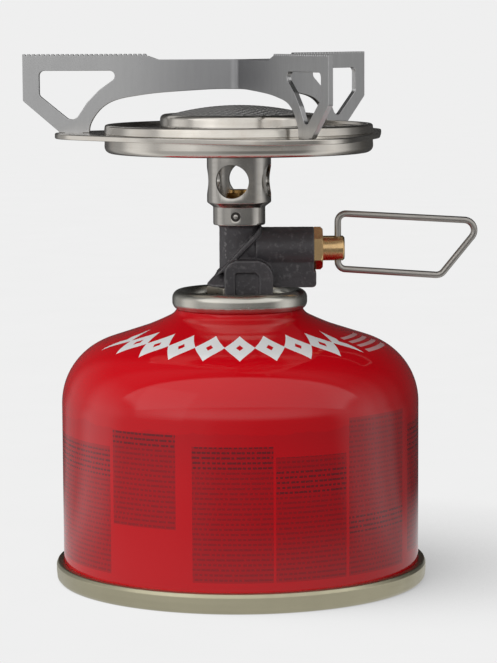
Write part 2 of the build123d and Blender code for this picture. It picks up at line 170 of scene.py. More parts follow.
def lathe(name, profile, body, nodes=(), steps=192, along_x=None):
    """A closed profile turned into a finished piece."""
    verts, faces = lathe_data(profile, steps, along_x)
    return make(name, verts, faces, body, nodes)


def raw_object(name, verts, faces):
    """A mesh object in millimetres before it's settled, for cutting and joining."""
    mesh = bpy.data.meshes.new(name)
    mesh.from_pydata([(x * MM, y * MM, z * MM) for x, y, z in verts], [], faces)
    bm = bmesh.new()
    bm.from_mesh(mesh)
    bmesh.ops.remove_doubles(bm, verts=bm.verts, dist=1e-7)
    bmesh.ops.recalc_face_normals(bm, faces=bm.faces)
    bm.to_mesh(mesh)
    bm.free()
    obj = bpy.data.objects.new(name, mesh)
    bpy.context.scene.collection.objects.link(obj)
    return obj


def bake(obj):
    """Applies every modifier of an object."""
    bpy.context.view_layer.update()
    deps = bpy.context.evaluated_depsgraph_get()
    mesh = bpy.data.meshes.new_from_object(obj.evaluated_get(deps))
    obj.modifiers.clear()
    obj.data = mesh
    return obj


def cut(obj, tool, operation="DIFFERENCE"):
    """Cuts an object with a tool, or joins or meets them, and removes the tool."""
    m = obj.modifiers.new("cut", "BOOLEAN")
    m.operation = operation
    m.object = tool
    m.solver = "EXACT"
    bake(obj)
    bpy.data.objects.remove(tool)
    return obj


def bevel(obj, width, angle=35):
    """Breaks the sharp edges of an object."""
    m = obj.modifiers.new("bevel", "BEVEL")
    m.width = width * MM
    m.segments = 2
    m.limit_method = "ANGLE"
    m.angle_limit = radians(angle)
    m.harden_normals = False
    m.use_clamp_overlap = True
    return bake(obj)


def rod(name, centre, axis, r, length, steps=64):
    """A plain cylinder, used as a cutting tool."""
    axis = Vector(axis).normalized()
    turn = axis.to_track_quat("Z", "Y").to_matrix()
    verts, faces = [], []
    for end in (-0.5, 0.5):
        for i in range(steps):
            a = 2 * pi * i / steps
            p = turn @ Vector((r * cos(a), r * sin(a), end * length)) + Vector(centre)
            verts.append(tuple(p))
    faces.append(tuple(range(steps))[::-1])
    faces.append(tuple(range(steps, 2 * steps)))
    for i in range(steps):
        j = (i + 1) % steps
        faces.append((i, j, steps + j, steps + i))
    return raw_object(name, verts, faces)


def prism(name, outline, axis, a, b):
    """An outline of (u, v) points extruded along Z ("z": u=x, v=y), X (u=y, v=z) or Y (u=x, v=z)."""
    def place(u, v, w):
        return {"z": (u, v, w), "x": (w, u, v), "y": (u, w, v)}[axis]
    n = len(outline)
    verts = [place(u, v, a) for u, v in outline] + [place(u, v, b) for u, v in outline]
    faces = [tuple(range(n)), tuple(range(n, 2 * n))[::-1]]
    for i in range(n):
        j = (i + 1) % n
        faces.append((i, j, n + j, n + i))
    return raw_object(name, verts, faces)


def tube_along(path, r, sides=24, closed=True):
    """A round wire along a list of points."""
    n = len(path)
    verts, faces = [], []
    pts = [Vector(p) for p in path]
    up = Vector((0, 1, 0))
    for i, p in enumerate(pts):
        if closed:
            t = (pts[(i + 1) % n] - pts[i - 1]).normalized()
        else:
            t = (pts[min(i + 1, n - 1)] - pts[max(i - 1, 0)]).normalized()
        side = t.cross(up)
        if side.length < 1e-4:
            side = t.cross(Vector((1, 0, 0)))
        side.normalize()
        other = side.cross(t).normalized()
        for k in range(sides):
            a = 2 * pi * k / sides
            verts.append(tuple(p + side * (r * cos(a)) + other * (r * sin(a))))
    for i in range(n if closed else n - 1):
        j = (i + 1) % n
        for k in range(sides):
            k2 = (k + 1) % sides
            faces.append((i * sides + k, i * sides + k2, j * sides + k2, j * sides + k))
    if not closed:
        faces.append(tuple(range(sides))[::-1])
        faces.append(tuple(range((n - 1) * sides, n * sides)))
    return verts, faces


# ------------------------------------------------------------------ material helpers


class Nodes:
    """Short calls for building a node tree."""

    def __init__(self, name):
        self.mat = bpy.data.materials.new(name)
        self.mat.use_nodes = True
        self.tree = self.mat.node_tree
        self.tree.nodes.clear()
        self.out = self.add("ShaderNodeOutputMaterial")
        self.coords = self.add("ShaderNodeTexCoord").outputs["Object"]

    def add(self, kind, **settings):
        node = self.tree.nodes.new(kind)
        for k, v in settings.items():
            setattr(node, k, v)
        return node

    def put(self, value, socket):
        if isinstance(value, bpy.types.NodeSocket):
            self.tree.links.new(value, socket)
        else:
            socket.default_value = value

    def math(self, op, a, b=0.0):
        node = self.add("ShaderNodeMath", operation=op)
        self.put(a, node.inputs[0])
        self.put(b, node.inputs[1])
        return node.outputs[0]

    def from_axis(self, x, y):
        """Distance from the Z axis."""
        square = self.math("ADD", self.math("MULTIPLY", x, x), self.math("MULTIPLY", y, y))
        return self.math("SQRT", square)

    def split(self, vector):
        node = self.add("ShaderNodeSeparateXYZ")
        self.put(vector, node.inputs[0])
        return node.outputs

    def join(self, x, y, z):
        node = self.add("ShaderNodeCombineXYZ")
        for v, s in zip((x, y, z), node.inputs):
            self.put(v, s)
        return node.outputs[0]

    def scale(self, vector, factors):
        node = self.add("ShaderNodeVectorMath", operation="MULTIPLY")
        self.put(vector, node.inputs[0])
        node.inputs[1].default_value = factors
        return node.outputs[0]

    def noise(self, vector, scale, detail=4.0, rough=0.55):
        node = self.add("ShaderNodeTexNoise")
        self.put(vector, node.inputs["Vector"])
        node.inputs["Scale"].default_value = scale
        node.inputs["Detail"].default_value = detail
        node.inputs["Roughness"].default_value = rough
        return node.outputs["Fac"]

    def white(self, vector):
        node = self.add("ShaderNodeTexWhiteNoise", noise_dimensions="3D")
        self.put(vector, node.inputs["Vector"])
        return node.outputs["Value"]

    def spread(self, value, a, b, c, d, smooth=False):
        """Value from a..b mapped to c..d, clamped."""
        node = self.add("ShaderNodeMapRange")
        node.clamp = True
        if smooth:
            node.interpolation_type = "SMOOTHSTEP"
        self.put(value, node.inputs["Value"])
        for v, s in zip((a, b, c, d), ("From Min", "From Max", "To Min", "To Max")):
            self.put(v, node.inputs[s])
        return node.outputs["Result"]

    def mix(self, factor, a, b):
        node = self.add("ShaderNodeMix", data_type="RGBA")
        self.put(factor, node.inputs["Factor"])
        self.put(a if not isinstance(a, tuple) else (*a, 1.0)[:4], node.inputs[6])
        self.put(b if not isinstance(b, tuple) else (*b, 1.0)[:4], node.inputs[7])
        return node.outputs[2]

    def bump(self, height, distance, strength):
        node = self.add("ShaderNodeBump")
        node.inputs["Strength"].default_value = strength
        node.inputs["Distance"].default_value = distance
        self.put(height, node.inputs["Height"])
        return node.outputs["Normal"]

    def shader(self, **inputs):
        node = self.add("ShaderNodeBsdfPrincipled")
        names = {
            "color": "Base Color", "metal": "Metallic", "rough": "Roughness", "normal": "Normal",
            "coat": "Coat Weight", "coat_rough": "Coat Roughness", "spec": "Specular IOR Level",
        }
        for k, v in inputs.items():
            if isinstance(v, tuple) and len(v) == 3:
                v = (*v, 1.0)
            self.put(v, node.inputs[names[k]])
        self.tree.links.new(node.outputs[0], self.out.inputs["Surface"])
        return self.mat


def steel(name, color, rough, stretch=(1, 1, 1), line=0.0, stain=0.12, bump_mm=0.004, warm=0.0, heat=0.0):
    """Worked stainless or tin: fine lines along the stretch, faint stains and uneven polish."""
    n = Nodes(name)
    lines = n.noise(n.scale(n.coords, stretch), 1.0, 6, 0.7)
    blotch = n.noise(n.coords, 130.0, 5, 0.6)
    speck = n.noise(n.coords, 1800.0, 2, 0.5)
    base = n.mix(n.spread(blotch, 0.35, 0.75, 0, stain), color, tuple(c * 0.45 for c in color))
    line_share = n.math("MULTIPLY", n.spread(lines, 0.3, 0.7, 0, 1), line)
    base = n.mix(line_share, base, tuple(c * 0.6 for c in color))
    if warm:
        base = n.mix(n.math("MULTIPLY", n.spread(blotch, 0.5, 0.7, 0, 1), warm), base, (0.62, 0.52, 0.42))
    if heat:
        # the sheet darkens and turns bluish over the flame
        x, y, _ = n.split(n.coords)
        tint = n.spread(n.from_axis(x, y), 0.006, 0.034, heat, 0.0, smooth=True)
        base = n.mix(tint, base, (0.13, 0.13, 0.145))
    polish = n.spread(blotch, 0.3, 0.7, rough * 0.85, rough * 1.2)
    r = n.math("ADD", polish, n.spread(lines, 0.3, 0.7, -0.04, 0.05))
    height = n.math("ADD", n.math("MULTIPLY", lines, 0.8), n.math("MULTIPLY", speck, 0.2))
    return n.shader(color=base, metal=1.0, rough=r, normal=n.bump(height, bump_mm * MM, 0.6))


# ------------------------------------------------------------------ materials

mat_arm = steel("sheet_steel", (0.56, 0.56, 0.56), 0.33, (500, 500, 60), 0.25, 0.16, 0.004, heat=0.45)
mat_edge = steel("sheared_edge", (0.62, 0.61, 0.59), 0.24, (120, 120, 1500), 0.3, 0.08, 0.008)
mat_pan = steel("pressed_steel", (0.66, 0.625, 0.57), 0.19, (40, 40, 1100), 0.16, 0.12, 0.002, warm=0.30)
mat_tube = steel("tube_steel", (0.46, 0.44, 0.41), 0.20, (60, 60, 900), 0.25, 0.18, 0.004, warm=0.2)
# painted shade: near-black steel that stands in for the shade inside the stake mark's groove
mat_groove_shade = steel("groove_painted_shade", (0.07, 0.065, 0.06), 0.5)
mat_wire = steel("wire_steel", (0.42, 0.40, 0.37), 0.36, (300, 300, 300), 0.3, 0.15, 0.004)
mat_tin = steel("tin_ring", (0.58, 0.565, 0.51), 0.22, (60, 60, 700), 0.16, 0.12, 0.002, warm=0.15)
mat_foot = steel("lacquered_tin", (0.50, 0.465, 0.33), 0.33, (50, 50, 500), 0.12, 0.12, 0.002)
mat_mesh = steel("mesh_steel", (0.58, 0.57, 0.56), 0.34, (500, 500, 500), 0.3, 0.25, 0.003)
mat_brass = steel("brass", (0.74, 0.50, 0.25), 0.24, (700, 60, 60), 0.2, 0.16, 0.003)
mat_jet = steel("jet_brass", (0.60, 0.36, 0.13), 0.28, (60, 60, 700), 0.2, 0.16, 0.003)
mat_collar = steel("collar_metal", (0.52, 0.49, 0.42), 0.28, (60, 60, 700), 0.2, 0.14, 0.003)


def casting_material():
    """Black satin coating over a rough casting, worn lighter in patches, with a painted highlight lightening
    its convex edges.
    """
    n = Nodes("black_casting")
    coarse = n.noise(n.coords, 900.0, 5, 0.65)
    fine = n.noise(n.coords, 4200.0, 3, 0.6)
    wide = n.noise(n.coords, 160.0, 3, 0.5)
    # painted highlight: the convex edges, found by pointiness, are picked out to be lightened
    edges = n.spread(n.add("ShaderNodeNewGeometry").outputs["Pointiness"], 0.505, 0.56, 0, 0.7)
    worn = n.spread(coarse, 0.54, 0.72, 0, 0.7)
    base = n.mix(worn, (0.050, 0.046, 0.050), (0.170, 0.163, 0.165))
    base = n.mix(n.spread(wide, 0.4, 0.7, 0, 0.5), base, (0.066, 0.058, 0.063))
    # painted highlight: the convex edges are mixed toward a lighter grey
    base = n.mix(edges, base, (0.190, 0.184, 0.186))
    height = n.math("ADD", n.math("MULTIPLY", coarse, 0.75), n.math("MULTIPLY", fine, 0.25))
    rough = n.spread(wide, 0.3, 0.7, 0.33, 0.47)
    return n.shader(color=base, metal=0.1, rough=rough, spec=0.45, normal=n.bump(height, 0.07 * MM, 0.8))


def plain_material(name, color, rough):
    """Rubber and plastic for the hidden pieces, with a faint mottle."""
    n = Nodes(name)
    mottle = n.noise(n.coords, 700.0, 4, 0.6)
    base = n.mix(n.spread(mottle, 0.3, 0.7, 0, 1), color, tuple(c * 0.7 for c in color))
    return n.shader(color=base, rough=n.spread(mottle, 0.3, 0.7, rough * 0.9, rough * 1.1),
                    normal=n.bump(mottle, 0.02 * MM, 0.5))


ROW_PITCH = 1.18        # millimetres between printed rows
DASH_PITCH = 1.15       # millimetres between printed dashes
# printed columns in millimetres: left, right, bottom, top, and the bold rows' bottom and top
PRINT_COLUMNS = (
    (-128, -100, 9, 37, 30, 35), (-96, -68, 7, 40, 33, 38), (-64, -33.5, 7, 37, 30, 36),
    (-32.5, -15.2, 19, 41, 38, 41), (-11.2, 7.6, 7, 38.5, 33, 38.5), (8.2, 26.0, 7, 36, 27, 33),
    (26.8, 47.0, 7, 44, 17, 21), (50, 75, 9, 40, 33, 39), (78, 104, 7, 38, 31, 36),
    (108, 132, 12, 41, 36, 41),
)


def paint_material():
    """Glossy red enamel with faint columns of plain dashes, a ridge line and a row of pale diamonds."""
    n = Nodes("red_enamel")
    x, y, z = n.split(n.coords)
    around = n.math("ARCTAN2", x, n.math("MULTIPLY", y, -1.0))          # 0 at the front, + toward +X
    u = n.math("MULTIPLY", around, 43.3)                                 # millimetres along the wall
    v = n.math("MULTIPLY", z, 1000.0)                                    # millimetres up
    # rows of dashes
    row = n.math("FLOOR", n.math("DIVIDE", v, ROW_PITCH))
    in_row = n.math("FRACT", n.math("DIVIDE", v, ROW_PITCH))
    jitter = n.white(n.join(row, 3.0, 1.0))
    step = n.math("DIVIDE", n.math("ADD", u, n.math("MULTIPLY", jitter, 9.0)), DASH_PITCH)
    cell = n.math("FLOOR", step)
    in_cell = n.math("FRACT", step)
    length = n.white(n.join(cell, row, 5.0))
    bar = n.math("MULTIPLY",
                 n.math("LESS_THAN", in_cell, n.spread(length, 0, 1, 0.55, 0.98)),
                 n.math("MULTIPLY", n.math("GREATER_THAN", in_row, 0.30), n.math("LESS_THAN", in_row, 0.72)))
    # columns with their own tops and bottoms
    ink = None
    heavy = None
    for left, right, low, high, bold_low, bold_high in PRINT_COLUMNS:
        span = n.math("MULTIPLY", n.math("GREATER_THAN", u, left), n.math("LESS_THAN", u, right))
        tall = n.math("MULTIPLY", n.math("GREATER_THAN", v, low), n.math("LESS_THAN", v, high))
        bold = n.math("MULTIPLY", n.math("GREATER_THAN", v, bold_low), n.math("LESS_THAN", v, bold_high))
        column = n.math("MULTIPLY", span, tall)
        strong = n.math("MULTIPLY", span, bold)
        ink = column if ink is None else n.math("MAXIMUM", ink, column)
        heavy = strong if heavy is None else n.math("MAXIMUM", heavy, strong)
    fade = n.math("ADD", 0.42, n.math("MULTIPLY", heavy, 0.38))
    dash = n.math("MULTIPLY", n.math("MULTIPLY", bar, ink), fade)
    # faint ridge of hills below the shoulder
    hills = n.noise(n.join(n.math("MULTIPLY", u, 0.055), 0.0, 0.0), 1.0, 5, 0.6)
    ridge = n.math("ADD", 41.5, n.math("MULTIPLY", n.math("SUBTRACT", hills, 0.5), 7.0))
    below = n.spread(n.math("SUBTRACT", ridge, v), -0.15, 0.25, 0, 1)
    band = n.math("MULTIPLY", below, n.spread(v, 30.0, 41.0, 0.0, 0.30))
    red = (0.57, 0.0015, 0.007)
    base = n.mix(band, red, (0.36, 0.004, 0.010))
    base = n.mix(n.math("MULTIPLY", ink, 0.50), base, (0.26, 0.004, 0.008))
    base = n.mix(dash, base, (0.10, 0.010, 0.014))
    # row of diamonds on the cone of the shoulder
    radius = n.math("MULTIPLY", n.from_axis(x, y), 1000.0)
    turn = n.math("DIVIDE", around, radians(14.0))
    near = n.math("ABSOLUTE", n.math("SUBTRACT", n.math("FRACT", n.math("ADD", turn, 0.5)), 0.5))
    up = n.math("DIVIDE", n.math("ABSOLUTE", n.math("SUBTRACT", radius, 29.0)), 6.2)
    shape = n.math("ADD", n.math("MULTIPLY", near, 1.95), up)
    diamond = n.math("LESS_THAN", shape, 1.0)
    # each diamond has a red heart
    diamond = n.math("MULTIPLY", diamond, n.math("GREATER_THAN", shape, 0.24))
    front = n.math("LESS_THAN", n.math("ABSOLUTE", n.math("ADD", around, radians(7.0))), radians(63.0))
    # a small block of bars beside the row
    side = n.math("MULTIPLY", n.math("GREATER_THAN", around, radians(60.0)),
                  n.math("LESS_THAN", around, radians(84.0)))
    bars = n.math("GREATER_THAN", n.math("FRACT", n.math("DIVIDE", radius, 2.2)), 0.5)
    block = n.math("MULTIPLY", n.math("MULTIPLY", side, bars),
                   n.math("LESS_THAN", n.math("ABSOLUTE", n.math("SUBTRACT", radius, 31.0)), 4.4))
    high = n.math("GREATER_THAN", v, 52.0)
    mark = n.math("MULTIPLY", n.math("MULTIPLY", diamond, front), high)
    base = n.mix(mark, base, (0.80, 0.81, 0.81))
    base = n.mix(n.math("MULTIPLY", n.math("MULTIPLY", block, high), 0.7), base, (0.72, 0.55, 0.55))
    orange = n.noise(n.coords, 520.0, 2, 0.5)
    wide = n.noise(n.coords, 45.0, 3, 0.5)
    rough = n.spread(wide, 0.3, 0.7, 0.24, 0.30)
    return n.shader(color=base, metal=0.0, rough=rough, spec=0.0, coat=0.9, coat_rough=0.07,
                    normal=n.bump(orange, 0.003 * MM, 0.4))


mat_paint = paint_material()
mat_cast = casting_material()
mat_rubber = plain_material("rubber", (0.022, 0.022, 0.023), 0.55)
mat_plastic = plain_material("acetal", (0.78, 0.77, 0.72), 0.4)


def paint(obj, *materials):
    obj.data.materials.clear()
    for m in materials:
        obj.data.materials.append(m)


# ------------------------------------------------------------------ canister

CAN_R, NECK_R, CONE = 43.3, 15.1, 18.2


def smooth_run(knots, steps):
    """A smooth curve through the knots, as points."""
    n = len(knots)
    out = []
    for i in range(n - 1):
        p0, p1, p2, p3 = knots[max(i - 1, 0)], knots[i], knots[i + 1], knots[min(i + 2, n - 1)]
        for k in range(steps):
            t = k / steps
            out.append(tuple(
                0.5 * ((2 * b) + (-a + c) * t + (2 * a - 5 * b + 4 * c - d) * t * t
                       + (-a + 3 * b - 3 * c + d) * t ** 3)
                for a, b, c, d in zip(p0, p1, p2, p3)
            ))
    out.append(knots[-1])
    return out


def can_side(inset):
    """The can's wall from the foot up to the neck bead."""
    points = [(CAN_R - inset, 1.3), (CAN_R - inset, 12.0), (CAN_R - inset, 28.0)]
    points += arc(27.3, 43.27, 16.0 - inset, 0, 90 - CONE, 40)
    # the cone flares up into the neck: radius, height and slope
    flare = [
        (24.4, 61.07, CONE), (21.6, 62.1, 21.0), (18.2, 63.6, 26.0), (16.2, 64.7, 34.0), (NECK_R, 66.1, 90.0),
    ]
    knots = [(r - inset * sin(radians(a)), z - inset * cos(radians(a))) for r, z, a in flare]
    points += smooth_run([points[-1]] + knots, 8)[8:]
    points.append((NECK_R - inset, 67.4))
    return points


outer = can_side(0.0)
inner = can_side(0.4)
bead = arc(14.4, 68.1, 0.85, -38, 228, 20)
can_profile = outer + bead + inner[::-1]
shell = lathe("can_shell", can_profile, "canister", ["canister_shell"], steps=288)
paint(shell, mat_paint)

foot = fillet([
    (42.4, 0.9, 0.3), (43.0, 0.0, 0.4), (44.3, 0.0, 0.5), (44.95, 0.8, 0.6), (45.1, 2.4, 1.2),
    (45.1, 3.9, 0.7), (44.7, 4.8, 0.45), (43.34, 4.8, 0.1), (43.34, 1.75), (44.2, 1.75),
    (44.2, 1.15), (42.84, 1.15),
    (42.84, 4.6, 0.15), (42.4, 4.6, 0.15), (42.4, 3.0, 0.5),
])
PANEL_CENTRE_Z, PANEL_HALF_ANGLE, PANEL_STEPS = -175.1, 13.3, 24


def panel_point(r, angle):
    """A point on the domed bottom, at an angle from the axis."""
    return (r * sin(radians(angle)), PANEL_CENTRE_Z + r * cos(radians(angle)))


shares = range(PANEL_STEPS + 1)
panel_top = [panel_point(183.1, PANEL_HALF_ANGLE - PANEL_HALF_ANGLE * i / PANEL_STEPS) for i in shares]
panel_low = [panel_point(182.7, PANEL_HALF_ANGLE * i / PANEL_STEPS) for i in shares]
bottom_profile = foot + panel_top + panel_low
base = lathe("can_base", bottom_profile, "canister", ["canister_base"], steps=288)
paint(base, mat_foot)

# valve cup: curl, wall, floor and threaded boss
cup_path = arc(14.4, 67.65, 1.6, -57, 0, 14) + arc(14.4, 68.55, 1.6, 0, 180, 32)
cup_path += fillet([
    (12.8, 68.3), (12.8, 66.0, 0.8), (12.9, 64.0, 1.0), (5.05, 64.0, 0.5), (5.05, 66.1),
], closed=False)
cup = thick(cup_path, -0.35)
boss = [(5.05, 66.1)]
boss += fillet([
    (5.05, 72.7), (5.05, 73.0, 0.25), (1.9, 73.0, 0.15), (1.9, 72.4, 0.1), (3.65, 72.4), (3.65, 64.3),
], closed=False)
cup_obj = lathe("valve_cup_metal", cup, "canister", ["valve_cup"], steps=192)
paint(cup_obj, mat_tin)
boss_obj = lathe("valve_boss", boss + [(4.9, 64.3)], "canister", (), steps=96)
paint(boss_obj, mat_tin)


def helical_thread(root, crest, pitch, z0, z1):
    """A right-hand thread ridge around the Z axis, fading out at both ends."""
    per_turn = 72
    total = int((z1 - z0) / pitch * per_turn)
    verts, faces = [], []
    section = [(0.0, -0.44), (0.86, -0.10), (1.0, -0.04), (1.0, 0.04), (0.86, 0.10), (0.0, 0.44)]
    for i in range(total + 1):
        a = 2 * pi * i / per_turn
        fade = min(1.0, i / 20, (total - i) / 20)
        for h, w in section:
            r = root - 0.02 + (crest - root) * h * fade
            verts.append((r * cos(a), r * sin(a), z0 + pitch * i / per_turn + w * pitch))
    m = len(section)
    for i in range(total):
        for k in range(m - 1):
            faces.append((i * m + k, i * m + k + 1, (i + 1) * m + k + 1, (i + 1) * m + k))
    return verts, faces


verts, faces = helical_thread(5.05, 5.53, 0.907, 66.5, 72.4)
thread = make("boss_thread", verts, faces, "canister", (), weighted=False)
paint(thread, mat_tin)

# ------------------------------------------------------------------ stove valve

SPINDLE_Z = 80.35       # height of the spindle's axis
HANDLE_X = 23.8         # the spindle's cross hole, which holds the handle's upright leg


def hexagon(r, start=0, up=0.0):
    """Six corners on a circle, the first at the start angle."""
    return [(r * cos(radians(start + 60 * k)), up + r * sin(radians(start + 60 * k))) for k in range(6)]


# hexagonal collar: prism with turned corners and a plain bore
collar = prism("thread_collar_metal", hexagon(13.8 / 2 / cos(radians(30))), "z", 65.7, 71.4)
cone_v, cone_f = lathe_data([
    (0, 65.2), (6.9, 65.2), (8.3, 66.4), (8.3, 70.9), (7.3, 71.6), (6.2, 71.6), (6.2, 72.6), (0, 72.6),
], 96)
cut(collar, raw_object("turning", cone_v, cone_f), "INTERSECT")
cut(collar, rod("bore", (0, 0, 69), (0, 0, 1), 5.6, 12, 96))
bevel(collar, 0.12)
settle(collar, "head", ["thread_collar"])
paint(collar, mat_collar)

# black casting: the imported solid, its edges softened the way a casting's are
cast = frame["nodes"]["valve_body"].copy()
cast.data = cast.data.copy()
cast.name = "valve_casting"
cast.parent = None
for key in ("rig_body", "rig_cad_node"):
    if key in cast:
        del cast[key]
bpy.context.scene.collection.objects.link(cast)
m = cast.modifiers.new("remesh", "REMESH")
m.mode = "VOXEL"
m.voxel_size = 0.16 * MM
m.adaptivity = 0.0
bake(cast)
m = cast.modifiers.new("soften", "CORRECTIVE_SMOOTH")
m.iterations = 6
m.factor = 0.5
m.smooth_type = "SIMPLE"
m.use_only_smooth = True
bake(cast)
bm = bmesh.new()
bm.from_mesh(cast.data)
for v in bm.verts:
    p = v.co * 1000.0
    if abs(p.x) < 3.0 and abs(p.y) < 3.0 or p.z > 86:
        continue
    rough = noise.fractal(p * 0.9, 0.8, 2.1, 4)
    v.co += v.normal * (rough * 0.030 * MM)
bm.to_mesh(cast.data)
bm.free()
settle(cast, "head", ["valve_body"], weighted=False)
paint(cast, mat_cast)

# jet
jet = prism("gas_jet_brass", hexagon(2.9 / cos(radians(30)), 30), "z", 89.82, 93.92)
v, f = lathe_data([(0, 93.0), (2.6, 93.0), (2.45, 94.62), (0, 94.62)], 64)
cut(jet, raw_object("nose", v, f), "UNION")
cut(jet, rod("orifice", (0, 0, 94), (0, 0, 1), 0.25, 3, 24))
bevel(jet, 0.1)
settle(jet, "head", ["gas_jet"])
paint(jet, mat_jet)

# gland nut, corners up and down
gland = prism("gland_hex", hexagon(5.196, 90, SPINDLE_Z), "x", 18.0, 20.12)
v, f = lathe_data([(0, 17.9), (5.3, 17.9), (5.3, 19.45), (4.55, 20.2), (0, 20.2)], 96, along_x=SPINDLE_Z)
cut(gland, raw_object("turning", v, f), "INTERSECT")
cut(gland, rod("bore", (18, 0, SPINDLE_Z), (1, 0, 0), 3.05, 12, 64))
bevel(gland, 0.10)
settle(gland, "head", ["gland_nut"])
paint(gland, mat_brass)
sleeve_profile = fillet([(3.05, 13.05, 0.1), (3.9, 13.05, 0.15), (3.9, 18.0), (3.05, 18.0)])
sleeve = lathe("gland_sleeve", sleeve_profile, "head", (), 96, along_x=SPINDLE_Z)
paint(sleeve, mat_brass)

# spindle with its cross hole
profile = fillet([
    (0, 2.28), (0.3, 2.28), (1.6, 3.8), (1.9, 3.8, 0.1), (1.9, 7.6, 0.1), (3.7, 7.6, 0.15), (3.7, 8.5, 0.1),
    (2.2, 8.5, 0.15), (2.2, 10.3, 0.15), (3.7, 10.3, 0.1), (3.7, 11.9, 0.15), (3.0, 11.9, 0.1), (3.0, 22.2),
    (3.0, 25.0, 0.25), (2.6, 25.4, 0.25), (0, 25.4),
], closed=False)
v, f = lathe_data(profile, 128, along_x=SPINDLE_Z)
spindle = raw_object("spindle_brass", v, f)
cut(spindle, rod("cross", (HANDLE_X, 0, SPINDLE_Z), (0, 0, 1), 0.85, 10, 48))
bevel(spindle, 0.06, 40)
settle(spindle, "spindle", ["spindle"])
paint(spindle, mat_brass)

# ------------------------------------------------------------------ wire handle


def handle_path():
    """The wire's closed centre line."""
    corners = [(HANDLE_X, 75.34, 1.9), (HANDLE_X, 88.78, 1.9), (59.3, 86.7, 2.5), (48.66, 73.61, 2.2)]
    flat = fillet(corners)
    path = []
    for i, (x, z) in enumerate(flat):
        x2, z2 = flat[(i + 1) % len(flat)]
        steps = max(1, int(hypot(x2 - x, z2 - z) / 0.8))
        for k in range(steps):
            path.append((x + (x2 - x) * k / steps, 0.0, z + (z2 - z) * k / steps))
    return path


verts, faces = tube_along(handle_path(), 0.8, 28)
handle = make("handle_wire", verts, faces, "handle", ["wire_handle"], weighted=False)
paint(handle, mat_wire)

# ------------------------------------------------------------------ mixing tube and burner head

AIR_HOLE_ANGLES, AIR_HOLE_R, AIR_HOLE_Z = (256, 346, 76, 166), 4.05, 96.9
MARK_X, MARK_Z = -0.84, 88.4    # middle of the stake mark

tube_profile = fillet([
    (5.5, 86.2, 0.1), (6.2, 86.2, 0.25), (6.3, 86.7, 0.2), (6.3, 90.55, 0.35), (6.6, 90.8, 0.3),
    (7.75, 91.65, 0.45), (7.75, 97.0), (7.75, 103.0, 0.1), (7.65, 103.0), (7.65, 103.65),
    (9.5, 103.65, 0.15), (9.5, 104.2, 0.15),
    (6.95, 104.2, 0.2), (6.95, 91.95, 0.5), (5.5, 91.1, 0.3),
])
v, f = lathe_data(tube_profile, 192)
tube = raw_object("tube_metal", v, f)
for angle in AIR_HOLE_ANGLES:
    d = (cos(radians(angle)), sin(radians(angle)), 0)
    cut(tube, rod("air", (d[0] * 8, d[1] * 8, AIR_HOLE_Z), d, AIR_HOLE_R, 10, 96))
# stake mark: a narrow ring groove; its inside faces get near-black steel as painted shade
v, f = [], []
mark_steps = 40
for ring_r, depth in ((1.15, 0.2), (1.15, -0.42), (0.55, -0.42), (0.55, 0.2)):
    for k in range(mark_steps):
        a = 2 * pi * k / mark_steps
        v.append((MARK_X + ring_r * cos(a), -6.24 - depth, MARK_Z + ring_r * sin(a)))
for i in range(4):
    a0, a1 = i * mark_steps, ((i + 1) % 4) * mark_steps
    for k in range(mark_steps):
        k2 = (k + 1) % mark_steps
        f.append((a0 + k, a0 + k2, a1 + k2, a1 + k))
cut(tube, raw_object("stake", v, f))
bevel(tube, 0.10, 40)
settle(tube, "head", ["mixing_tube"])
paint(tube, mat_tube, mat_groove_shade)
# painted shade: the faces inside the stake mark take the near-black second material
for p in tube.data.polygons:
    x, y, z = p.center / MM
    if y < -5.0 and hypot(x, y) < 6.2 and hypot(x - MARK_X, z - MARK_Z) < 1.22:
        p.material_index = 1

PAN = 32.35
lower_path = fillet([
    (7.72, 103.0), (18.5, 103.0, 6.0), (PAN + 0.05, 103.7, 2.2), (PAN - 0.10, 107.0),
], closed=False)
lower = thick(lower_path, 0.6)
lower_obj = lathe("lower_pan_metal", lower, "head", ["lower_pan"], steps=256)
paint(lower_obj, mat_pan)

UPPER = 32.4
upper = fillet([
    (UPPER + 0.05, 108.3, 0.1), (UPPER - 0.2, 110.45, 0.8), (UPPER - 1.25, 110.45, 0.4),
    (UPPER - 1.95, 109.6, 0.4), (PAN - 4.0, 109.5, 1.0), (18.2, 109.5, 0.1), (18.2, 108.95, 0.1),
    (UPPER - 1.7, 109.05, 0.3),
    (UPPER - 0.95, 109.8, 0.3), (UPPER - 0.6, 109.5, 0.2), (UPPER - 0.6, 108.3),
])
upper_obj = lathe("upper_pan_metal", upper, "head", ["upper_pan"], steps=256)
paint(upper_obj, mat_pan)

cap = fillet([
    (19.15, 109.52, 0.05), (19.15, 110.1, 0.08), (19.05, 110.25, 0.08), (18.8, 112.9, 1.2),
    (16.6, 112.9, 0.25), (16.6, 112.3, 0.1), (17.95, 112.3, 0.2), (17.95, 109.52),
])
cap_obj = lathe("burner_cap_metal", cap, "head", ["burner_cap"], steps=256)
paint(cap_obj, mat_pan)


DOME_TOP, DOME_SPHERE = 114.6, 64.1


def dome_z(r):
    """Height of the flame mesh at a distance from the axis."""
    return DOME_TOP - DOME_SPHERE + (DOME_SPHERE * DOME_SPHERE - r * r) ** 0.5


